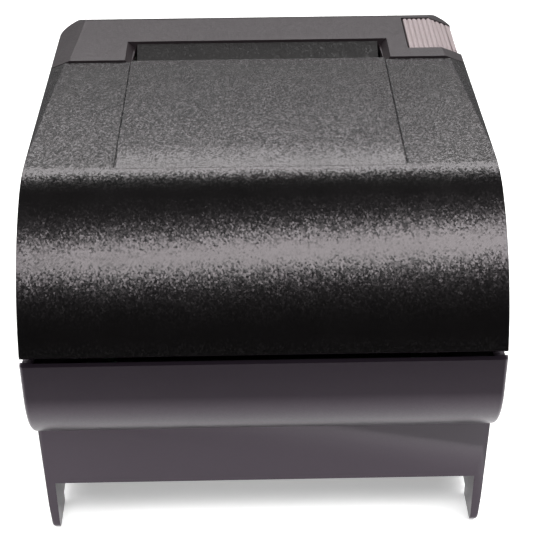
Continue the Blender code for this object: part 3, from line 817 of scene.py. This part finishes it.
# %% Roll cover: raised middle and grooves
panel_outline = [(SEAM_Y, 121.5), (SEAM_Y, TOP_Z), (35.0, TOP_Z)]
panel_outline += arc((35.0, TOP_Z - PANEL_CURVE), PANEL_CURVE, 90, 85.2, 8)[1:]
panel_outline += [(49.4, 121.5)]
weld(cover, walk("panel", panel_outline, -PANEL_HALF, PANEL_HALF))
for side in (1, -1):
    groove = [(44.2, SEAM_Y - 1), (44.65, SEAM_Y - 1), (45.1, 48.6), (44.2, 48.6)]
    if side < 0:
        groove = [(-x, y) for x, y in reversed(groove)]
    carve(cover, walk("tool", groove, 122.3, 126, "Z"))
round_edges(
    cover,
    lambda a, b, edge: abs(a.y - SEAM_Y) < 0.01
    and abs(b.y - SEAM_Y) < 0.01
    and is_corner(edge, 40)
    and min(a.z, b.z) > 118
    and abs(a.z - b.z) < 4,
    0.7,
    3,
)
round_edges(
    cover,
    lambda a, b, edge: max(a.z, b.z) < COVER_LOW + 0.2
    and min(a.y, b.y) > 90.0
    and is_corner(edge, 15),
    0.5,
    2,
)

# %% Roll cover: inside, hinge lugs and bosses
inner_outline = [(SEAM_Y + 1.8, 80), (SEAM_Y + 1.8, 120.8), (44.6, 120.8)]
inner_outline += arc((45.3, 87.4), 33.5, 90, 62, 8)[1:-1]
inner_outline += arc(BACK_CENTRE, BACK_RADIUS - WALL, 62, 14.2, 20) + [(88.2, 70), (0, 70)]
carve(
    cover,
    walk("tool", inner_outline, -HALF + 2.8, HALF - 2.8),
    block("tool", (-59.5, -40, 70), (59.5, -22, 116.4)),
)
for side in (1, -1):
    lug_outline = arc(HINGE, 2.2, 170, 300, 12) + [(88.6, 84), (85, 96), (83, 96)]
    lug = walk("lug", lug_outline, *spread(side, 62.0, 65.6))
    boss = rod("boss", (side * 36, -3, 119.3), 3.4, 3.4)
    weld(cover, lug, boss)
    pin_hole = rod("tool", (side * 64, *HINGE), PIN_RADIUS, 12, "X")
    screw_hole = rod("tool", (side * 36, -3, 118.5), 1.3, 5)
    carve(cover, pin_hole, screw_hole)
smooth(cover, 30)
finish_piece(cover, cover_abs, "cover", "black_plastic", "roll_cover")

# %% [markdown]
# ## The front frame
#
# The front is a separate grey moulding: a flat top round the paper slot, a long
# sloping face with the feed button and lights, and a pocket for the lever. Its
# edges line up with the cover's chamfers, so the two read as one shape.

# %% Front frame: outside
TOP_EDGE_Y = -60.5
TOP_RADIUS = 8.0
slope_y = TOP_EDGE_Y - TOP_RADIUS * math.sin(FRONT_SLOPE)
slope_z = TOP_Z - TOP_RADIUS * (1 - math.cos(FRONT_SLOPE))
FRAME_REAR = SEAM_Y - 0.6
front_outline = [(2.0, 81.8), (2.0, 83.8), (FRAME_REAR, 103.7), (FRAME_REAR, TOP_Z)]
front_outline += arc(
    (TOP_EDGE_Y, TOP_Z - TOP_RADIUS), TOP_RADIUS, 90, 90 + math.degrees(FRONT_SLOPE), 14
)
front_outline += arc(LOW_CENTRE, LOW_RADIUS, 180 - SLOPE_TURN, 180 - low_turn(81.8), 6)
front = walk("front_moulding", front_outline, -HALF, HALF)
chamfer_sides(front, TOP_Z)
round_edges(
    front,
    lambda a, b, edge: min(abs(a.x), abs(b.x)) > 55
    and is_corner(edge, 10)
    and min(a.z, b.z) > 112
    and abs(a.y - b.y) > 1,
    1.2,
    4,
)


def on_slope(height):
    """Y of the sloping face at a height."""
    return slope_y - (slope_z - height) / math.tan(FRONT_SLOPE)


slope_front = slope_y * math.sin(FRONT_SLOPE) - slope_z * math.cos(FRONT_SLOPE)
for tool in corner_tools(slope_front, -150, 150):
    tool.rotation_euler = (FRONT_SLOPE - math.pi / 2, 0, 0)
    settle(tool, "corner_tool")
    carve(front, tool)

# %% Front frame: inside, slot, pocket and holes
inner_front = [(30, 70), (30, 119.4), (-63.5, 119.4)]
inner_front += [(on_slope(84) + 3.0, 84), (on_slope(84) + 1.6, 70)]
carve(front, walk("tool", inner_front, -HALF + 2.8, HALF - 2.8))
weld(front, block("pocket_walls", (-70.5, -62.0, 109.6), (-51.4, -31.4, 121.0)))
slot_outline = [(-45.0, -20), (45.0, -20), (43.7, -41.8), (-43.7, -41.8)]
flare = [(-47.0, 124.6), (47.0, 124.6), (44.4, 121.6), (-44.4, 121.6)]
carve(
    front,
    block("tool", (-80, -59.8, 112.0), (-53.3, -33.5, 130)),
    walk("tool", slot_outline, 100, 140, "Z"),
    walk("tool", flare, -41.8, -20, "Y"),
    rod("tool", (-52.4, -36.4, 120.3), 1.2, 4, "X"),
)
BUTTON_Z = 102.0
OUTWARD = Vector((0, -math.sin(FRONT_SLOPE), math.cos(FRONT_SLOPE)))
button_place = Vector((48, on_slope(BUTTON_Z), BUTTON_Z))


def on_face(obj, place, name):
    """Turns a piece that was made flat at the origin onto the sloping face."""
    obj.rotation_euler = (FRONT_SLOPE, 0, 0)
    obj.location = Vector(place) * MM
    return settle(obj, name)


carve(front, on_face(block("tool", (-9.4, -4.4, -7), (9.4, 4.4, 7)), button_place, "tool"))
LENSES = {"power_lens": -30, "error_lens": -22, "paper_lens": -14}
for x in LENSES.values():
    carve(front, rod("tool", (x, on_slope(BUTTON_Z), BUTTON_Z), 1.9, 12, tilt=FRONT_SLOPE))
smooth(front, 30)
finish_piece(front, front_abs, "case", "grey_plastic", "front_frame")

# %% [markdown]
# ## The exit guide
#
# The far wall of the slot leans back, so that the paper curls away from the
# cutter. It is a strip of coarse black plastic with softened edges.

# %% Exit guide
guide_outline = [(-41.4, 123.3), (-30.3, 116.7), (-31.2, 115.9), (-41.4, 121.5)]
guide = walk("slot_wall", guide_outline, -43.0, 43.0)
round_edges(guide, lambda a, b, edge: is_corner(edge, 20) and abs(a.x - b.x) > 10, 0.25, 2)
smooth(guide)
finish_piece(guide, slot_abs, "case", "black_plastic", "exit_guide")

# %% [markdown]
# ## The release lever
#
# The lever is a light grey pad with ribs that run front to back, so that a
# finger finds it. The ribs are part of its section: the section is walked
# across the lever, rib by rib, and pulled along it.

# %% Release lever
LEVER_X = (-71.6, -53.6)
LEVER_Y = (-59.3, -33.9)
RIBS = 10
RIB_HEIGHT = 0.45
# One rib's section: the share of the pitch across, and how far down from its crest.
RIB_SECTION = ((0.0, 1.0), (0.12, 0.35), (0.28, 0.0), (0.58, 0.0), (0.74, 0.35), (0.86, 1.0))
break_x = -(BEVEL_X + BEVEL_SPREAD * ((LEVER_Y[0] + LEVER_Y[1]) / 2 - SEAM_Y))


def lever_top(x):
    return TOP_Z - 0.15 - max(0.0, break_x - x) * BEVEL_SLOPE


section = [(LEVER_X[1], 116.8)]
pitch = (LEVER_X[1] - LEVER_X[0] - 0.6) / RIBS
for rib in range(RIBS):
    start = LEVER_X[1] - 0.3 - rib * pitch
    for share, drop in RIB_SECTION:
        x = start - share * pitch
        section.append((x, lever_top(x) - drop * RIB_HEIGHT))
section += [(LEVER_X[0], lever_top(LEVER_X[0]) - RIB_HEIGHT - 0.2), (LEVER_X[0], 116.8)]
lever = walk("ribbed_lever", section, *LEVER_Y, "Y")
rear_clip = [(-34.7, 116.7), (-33.9, 118.4), (-30, 118.4), (-30, 116.0), (-34.7, 116.0)]
carve(
    lever,
    block("tool", (-80, -70, 110), (-50, -42, 118.6)),
    walk("tool", rear_clip, -80, -50),
    rod("tool", (-58, -36.4, 120.3), 1.1, 50, "X"),
)
tilt_share = BEVEL_SLOPE * BEVEL_SPREAD * (LEVER_Y[1] - LEVER_Y[0]) / 2
for end, way in ((LEVER_Y[0], -1), (LEVER_Y[1], 1)):
    choose(lever)
    bpy.ops.object.mode_set(mode="EDIT")
    bpy.ops.mesh.select_mode(type="VERT")
    bpy.ops.mesh.select_all(action="DESELECT")
    pad = bmesh.from_edit_mesh(lever.data)
    for vert in pad.verts:
        point = vert.co / MM
        vert.select_set(point.z > 120.9 and point.x < break_x and abs(point.y - end) < 0.1)
    bmesh.update_edit_mesh(lever.data)
    bpy.ops.transform.translate(value=(0, 0, way * tilt_share * MM))
    bpy.ops.object.mode_set(mode="OBJECT")
round_edges(
    lever,
    lambda a, b, edge: is_corner(edge, 50)
    and abs(a.y - b.y) < 0.1
    and min(a.z, b.z) > 119.5
    and min(abs(a.y - LEVER_Y[0]), abs(a.y - LEVER_Y[1])) < 0.1,
    0.3,
    2,
)
smooth(lever)
finish_piece(lever, lever_abs, "lever", "light_plastic", "release_lever")

# %% [markdown]
# ## The feed button and the lights
#
# The button is a rounded key with a shallow dish for the fingertip. It is made
# flat, dished by an inset that is pushed down, and only then turned onto the
# slope. The three lights are short rods of clear plastic with domed ends.

# %% Feed button
KEY = Vector((9, 4, 2.3))
button = block("feed_key", -KEY, KEY)
round_edges(button, lambda a, b, edge: abs(a.z - b.z) > 4, 1.9, 6)
choose(button)
bpy.ops.object.mode_set(mode="EDIT")
bpy.ops.mesh.select_mode(type="FACE")
bpy.ops.mesh.select_all(action="DESELECT")
key = bmesh.from_edit_mesh(button.data)
for face in key.faces:
    face.select_set(face.normal.z > 0.9)
bmesh.update_edit_mesh(button.data)
bpy.ops.mesh.inset(thickness=0.7 * MM)
bpy.ops.mesh.inset(thickness=0.5 * MM, depth=-0.22 * MM)
bpy.ops.mesh.inset(thickness=0.5 * MM, depth=-0.1 * MM)
bpy.ops.object.mode_set(mode="OBJECT")
round_edges(
    button,
    lambda a, b, edge: abs(a.z - KEY.z) < 0.01
    and abs(b.z - KEY.z) < 0.01
    and is_corner(edge, 60),
    0.4,
    3,
)
on_face(button, button_place - OUTWARD * 1.3, "feed_key")
smooth(button)
finish_piece(button, front_abs, "button", "grey_plastic", "feed_button")

# %% Indicator lights
LIGHT_FINISH = {"power_lens": (green_lens, "green_lens")}
for name, x in LENSES.items():
    light = rod("lens", (0, 0, 0), 1.6, 3.4, sides=32)
    round_edges(light, lambda a, b, edge: a.z > 1.6 and b.z > 1.6 and is_corner(edge, 60), 0.9, 5)
    place = Vector((x, on_slope(BUTTON_Z), BUTTON_Z)) - OUTWARD * 1.5
    on_face(light, place, name.replace("lens", "light"))
    smooth(light, 40)
    lens, slot = LIGHT_FINISH.get(name, (amber_lens, "amber_lens"))
    finish_piece(light, lens, "case", slot, name)

# %% [markdown]
# ## Feet and screws
#
# The rubber feet are short pucks with a rounded lower edge and a dimple, which
# grips the table. The screws have a cross recess, cut with two crossed blades.

# %% Feet
for name in ("foot_front_left", "foot_front_right", "foot_rear_left", "foot_rear_right"):
    low, high = (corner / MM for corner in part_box(name))
    middle = (low + high) / 2
    foot = rod("pad", middle, (high.x - low.x) / 2, high.z - low.z, sides=48)
    round_edges(
        foot,
        lambda a, b, edge: max(a.z, b.z) < low.z + 0.01 and is_corner(edge, 60),
        0.7,
        3,
    )
    carve(foot, rod("tool", (middle.x, middle.y, low.z), 3.6, 1.2, sides=40))
    smooth(foot)
    foot.name = foot.data.name = name.replace("foot", "pad")
    finish_piece(foot, platen_rubber, "case", "rubber", name)


# %% Screws
def cross_screw(node, head_radius, head_height, shank_radius, up, body):
    """A pan-head screw in place of a plain one. Its head points up or down."""
    low, high = (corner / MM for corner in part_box(node))
    x, y = (low.x + high.x) / 2, (low.y + high.y) / 2
    head_z = high.z - head_height / 2 if up > 0 else low.z + head_height / 2
    face_z = high.z if up > 0 else low.z
    screw = rod(node + "_cross", (x, y, head_z), head_radius, head_height, sides=40)
    round_edges(
        screw,
        lambda a, b, edge: abs(a.z - face_z) < 0.01 and abs(b.z - face_z) < 0.01,
        0.6,
        3,
    )
    middle = (x, y, (low.z + high.z) / 2)
    weld(screw, rod("shank", middle, shank_radius, high.z - low.z - 0.8, sides=24))
    for size in ((1.9, 0.35), (0.35, 1.9)):
        carve(
            screw,
            block(
                "tool",
                (x - size[0], y - size[1], face_z - 0.9),
                (x + size[0], y + size[1], face_z + 0.9),
            ),
        )
    smooth(screw)
    return finish_piece(screw, turned_steel, body, "steel", node)


for word in ("left", "right"):
    cross_screw(f"plate_screw_{word}", 3.0, 1.6, 1.4, -1, "case")
    cross_screw(f"frame_screw_{word}", 2.8, 1.8, 1.1, 1, "case")
    cross_screw(f"bracket_screw_{word}", 2.6, 1.4, 1.1, -1, "cover")

# %% [markdown]
# ## The power switch
#
# The rocker's face is a shallow V with rounded ends. Its profile is walked with
# arcs instead of corners, so that it catches a soft highlight.

# %% Power rocker
rocker_outline = [(66.6, -67.6)] + arc((70.6, -68.0), 0.5, 240, 350, 4)
rocker_outline += [(70.3, -63.5), (69.9, -60.0), (71.0, -56.0)]
rocker_outline += arc((71.75, -52.0), 0.5, 10, 110, 4) + [(66.9, -52.4), (63.6, -60.0)]
rocker = walk("switch_rocker", rocker_outline, SWITCH[1] - 5.2, SWITCH[1] + 5.2, "Z")
round_edges(
    rocker,
    lambda a, b, edge: is_corner(edge, 60) and abs(a.z - b.z) < 0.1 and min(a.x, b.x) > 69,
    0.4,
    2,
)
smooth(rocker)
finish_piece(rocker, connector_pbt, "rocker", "black_plastic", "power_rocker")

# %% [markdown]
# ## Everything that keeps its engineering shape
#
# The print mechanism, the boards and the sockets already have the right shape.
# They keep it and get their real finishes. A weld and a narrow bevel, as live
# modifiers, give the sheet-metal and moulded edges a line of light.

# %% Finishes for the inside
FINISHES = (
    (zinc_steel, "bottom_plate connector_panel mechanism_frame cutter_frame"),
    (zinc_steel, "feed_motor cutter_motor platen_bracket"),
    (turned_steel, "platen_shaft idler_axle hinge_pin_left hinge_pin_right"),
    (turned_steel, "lever_pin lock_shaft head_spring_left head_spring_right"),
    (ground_steel, "fixed_blade moving_blade"),
    (tin_plate, "usb_socket lan_socket"),
    (sink_aluminium, "head_heatsink"),
    (gear_pom, "platen_gear idler_gear motor_pinion cutter_pinion"),
    (gear_pom, "platen_bush_left platen_bush_right"),
    (platen_rubber, "platen_roller"),
    (head_ceramic, "print_head"),
    (board_mask, "main_board"),
    (connector_pbt, "dc_inlet drawer_socket processor_chip power_capacitor buzzer"),
    (connector_pbt, "cover_switch switch_housing head_cable"),
    (inner_abs, "paper_bucket"),
)
BEVEL_WIDTH = 0.12
for material, names in FINISHES:
    for name in names.split():
        node = nodes[name]
        for holder in node.material_slots:
            holder.material = material
        welder = node.modifiers.new("weld", "WELD")
        welder.merge_threshold = 1e-6
        edge = node.modifiers.new("edge", "BEVEL")
        edge.width = BEVEL_WIDTH * MM
        edge.segments = 2
        edge.limit_method = "ANGLE"
        edge.angle_limit = math.radians(40)
print("finished", sum(len(names.split()) for _, names in FINISHES), "nodes of the frame")

# %% [markdown]
# ## Floor, light and camera
#
# The printer stands on a plain white sweep that glows a little, as over a light
# table, so that the walls pick up its shine. Beyond a hand's breadth on the
# viewer's side it is darker in reflections, as if a black card lay there, while it
# looks white to the camera: the Light Path node tells the two apart. One soft light
# hangs above on the viewer's side, two stand low beyond the printer, where they
# graze the flat top, and one stands on each side. The room is dark, and only looks
# white, so that the curves keep their deep shadows between the lights.

# %% Floor
SWEEP = 6.0
SWEEP_END = 0.55
NEAR, FAR = 0.12, 0.21
clear()
bpy.ops.mesh.primitive_plane_add(size=SWEEP, location=(0, SWEEP_END - SWEEP / 2, -0.0003))
floor = settle(bpy.context.object, "floor")
paper, tree, output, place = new_material("paper_sweep")
fibres = add_node(tree, "TexNoise", {"Vector": place, "Scale": per_mm(40), "Detail": 3.0})
split = add_node(tree, "SeparateXYZ", {"Vector": place})
away = add_node(
    tree,
    "MapRange",
    {"Value": split.outputs["Y"], "From Min": NEAR, "From Max": FAR},
)
unseen = add_node(
    tree,
    "Math",
    {0: 1.0, 1: add_node(tree, "LightPath").outputs["Is Camera Ray"]},
    operation="SUBTRACT",
)
fade = add_node(
    tree,
    "Math",
    {0: away.outputs["Result"], 1: unseen.outputs["Value"]},
    operation="MULTIPLY",
)
glow = add_node(
    tree,
    "MapRange",
    {"Value": fade.outputs["Value"], "To Min": 0.4, "To Max": 0.0},
)
white = blend(tree, fibres.outputs["Fac"], "#F6F6F6", "#FAFAFA")
cover_with(
    tree,
    output,
    Base_Color=blend(tree, fade.outputs["Value"], white, "#6A6A6A"),
    Roughness=0.9,
    Emission_Color=colour("#FFFFFF"),
    Emission_Strength=glow.outputs["Result"],
)
floor.data.materials.append(paper)
floor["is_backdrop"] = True


# %% Lights
def softbox(name, target, direction, distance, width, height, power):
    """A rectangular light that faces a point, given in mm, from a direction."""
    target = Vector(target) * MM
    direction = Vector(direction).normalized()
    light = bpy.data.lights.new(name, "AREA")
    light.shape = "RECTANGLE"
    light.size = width
    light.size_y = height
    light.energy = power
    holder = bpy.data.objects.new(name, light)
    bpy.context.scene.collection.objects.link(holder)
    holder.location = target + direction * distance
    holder.rotation_mode = "QUATERNION"
    holder.rotation_quaternion = (-direction).to_track_quat("-Z", "Y")
    print("light", name, power, "W")
    return holder


softbox("softbox_overhead", (0, 30, 100), (-0.22, 0.5, 0.84), 0.95, 1.2, 0.34, 11.8)
softbox("softbox_beyond", (0, 0, 110), (0.0, -0.74, 0.67), 1.15, 1.8, 0.3, 10.5)
softbox("softbox_horizon", (0, 0, 110), (0.0, -0.94, 0.34), 1.3, 2.2, 0.5, 1.6)
for side in (1, -1):
    softbox("softbox_side", (0, 60, 0), (side * 0.78, 0.08, 0.62), 1.2, 0.8, 0.8, 10)

world = bpy.data.worlds.new("studio")
bpy.context.scene.world = world
world.use_nodes = True
sky = world.node_tree
sky.nodes.clear()
seen = add_node(sky, "LightPath").outputs["Is Camera Ray"]
level = add_node(sky, "MapRange", {"Value": seen, "To Min": 0.02, "To Max": 0.95})
room = add_node(
    sky, "Background", {"Color": colour("#F7F7F8"), "Strength": level.outputs["Result"]}
)
sky_output = add_node(sky, "OutputWorld")
sky.links.new(room.outputs["Background"], sky_output.inputs["Surface"])

# %% [markdown]
# The camera looks down on the back of the printer from a little above roof
# height, with a long lens that keeps the sides nearly parallel.

# %% Camera
bpy.context.scene.view_settings.view_transform = "Standard"
camera = bpy.data.cameras.new("camera")
camera.lens = 92.78
camera.sensor_width = 36.0
camera.clip_start = 0.01
viewer = bpy.data.objects.new("camera", camera)
bpy.context.scene.collection.objects.link(viewer)
viewer.location = Vector((3.09, 419.97, 332.16)) * MM
PAN, LOOK_DOWN, ROLL = -0.87, 33.655, -0.434
aim = Matrix.Rotation(math.radians(180 + PAN), 3, "Z")
aim = aim @ Matrix.Rotation(math.radians(90 - LOOK_DOWN), 3, "X")
aim = aim @ Matrix.Rotation(math.radians(ROLL), 3, "Z")
viewer.rotation_euler = aim.to_euler()
bpy.context.scene.camera = viewer

# %% Sizes and finish
low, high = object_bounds()
({
        "cad": [list(cad_low), list(cad_high)],
        "visual": [list(low), list(high)],
    })
print("visual box in mm:", [round(v / MM, 2) for v in (*low, *high)])
